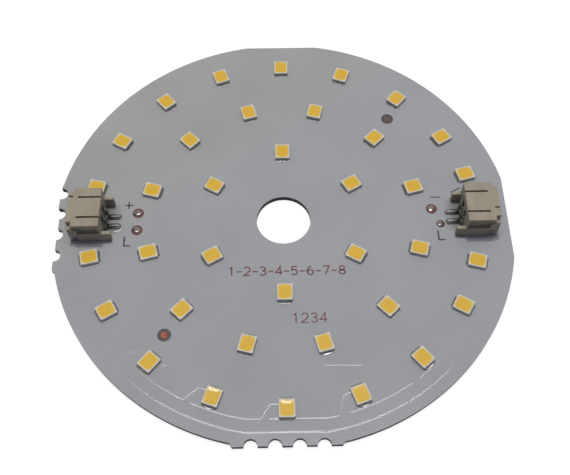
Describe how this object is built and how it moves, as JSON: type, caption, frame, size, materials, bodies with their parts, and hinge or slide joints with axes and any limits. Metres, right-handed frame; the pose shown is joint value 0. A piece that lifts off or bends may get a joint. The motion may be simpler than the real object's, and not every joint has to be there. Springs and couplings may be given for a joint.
{
  "type": "led module",
  "caption": "Round flat light engine: rings of surface-mounted white diodes on an aluminium-backed board with a middle hole and a side-entry plug header at each side.",
  "frame": {"origin": "on the axis of the middle hole at the back face of the board", "axes": "+Z out of the lit face, +X towards the header with the minus terminal, +Y towards the plain flat opposite the tab notches"},
  "size_m": [0.0838, 0.084, 0.0067],
  "materials": {
    "aluminium": "rolled, sheared at the edges",
    "insulation": "matt",
    "copper": "bare copper foil",
    "white_coat": "satin white solder mask",
    "diode_white": "smooth moulded",
    "phosphor": "silicone with yellow phosphor",
    "chip": "polished",
    "plated_lead": "silver plate",
    "solder": "bright reflowed solder",
    "header_plastic": "moulded, natural tan",
    "tinned_contact": "tin plate"
  },
  "bodies": {
    "root": {"aluminium_base": "aluminium", "insulation_layer": "insulation", "copper_circuit": "copper", "white_mask": "white_coat", "led_housings_outer": "diode_white", "led_housings_middle": "diode_white", "led_housings_inner": "diode_white", "led_phosphor_outer": "phosphor", "led_phosphor_middle": "phosphor", "led_phosphor_inner": "phosphor", "led_dies_outer": "chip", "led_dies_middle": "chip", "led_dies_inner": "chip", "led_cathodes_outer": "plated_lead", "led_cathodes_middle": "plated_lead", "led_cathodes_inner": "plated_lead", "led_anodes_outer": "plated_lead", "led_anodes_middle": "plated_lead", "led_anodes_inner": "plated_lead", "led_solder_outer": "solder", "led_solder_middle": "solder", "led_solder_inner": "solder", "left_header_housing": "header_plastic", "right_header_housing": "header_plastic", "left_header_contact_plus": "tinned_contact", "left_header_contact_line": "tinned_contact", "right_header_contact_minus": "tinned_contact", "right_header_contact_line": "tinned_contact", "left_header_tab_front": "tinned_contact", "left_header_tab_back": "tinned_contact", "right_header_tab_front": "tinned_contact", "right_header_tab_back": "tinned_contact", "left_header_solder": "solder", "right_header_solder": "solder", "left_pad_solder_plus": "solder", "left_pad_solder_line": "solder", "right_pad_solder_minus": "solder", "right_pad_solder_line": "solder"}
  },
  "joints": []
}
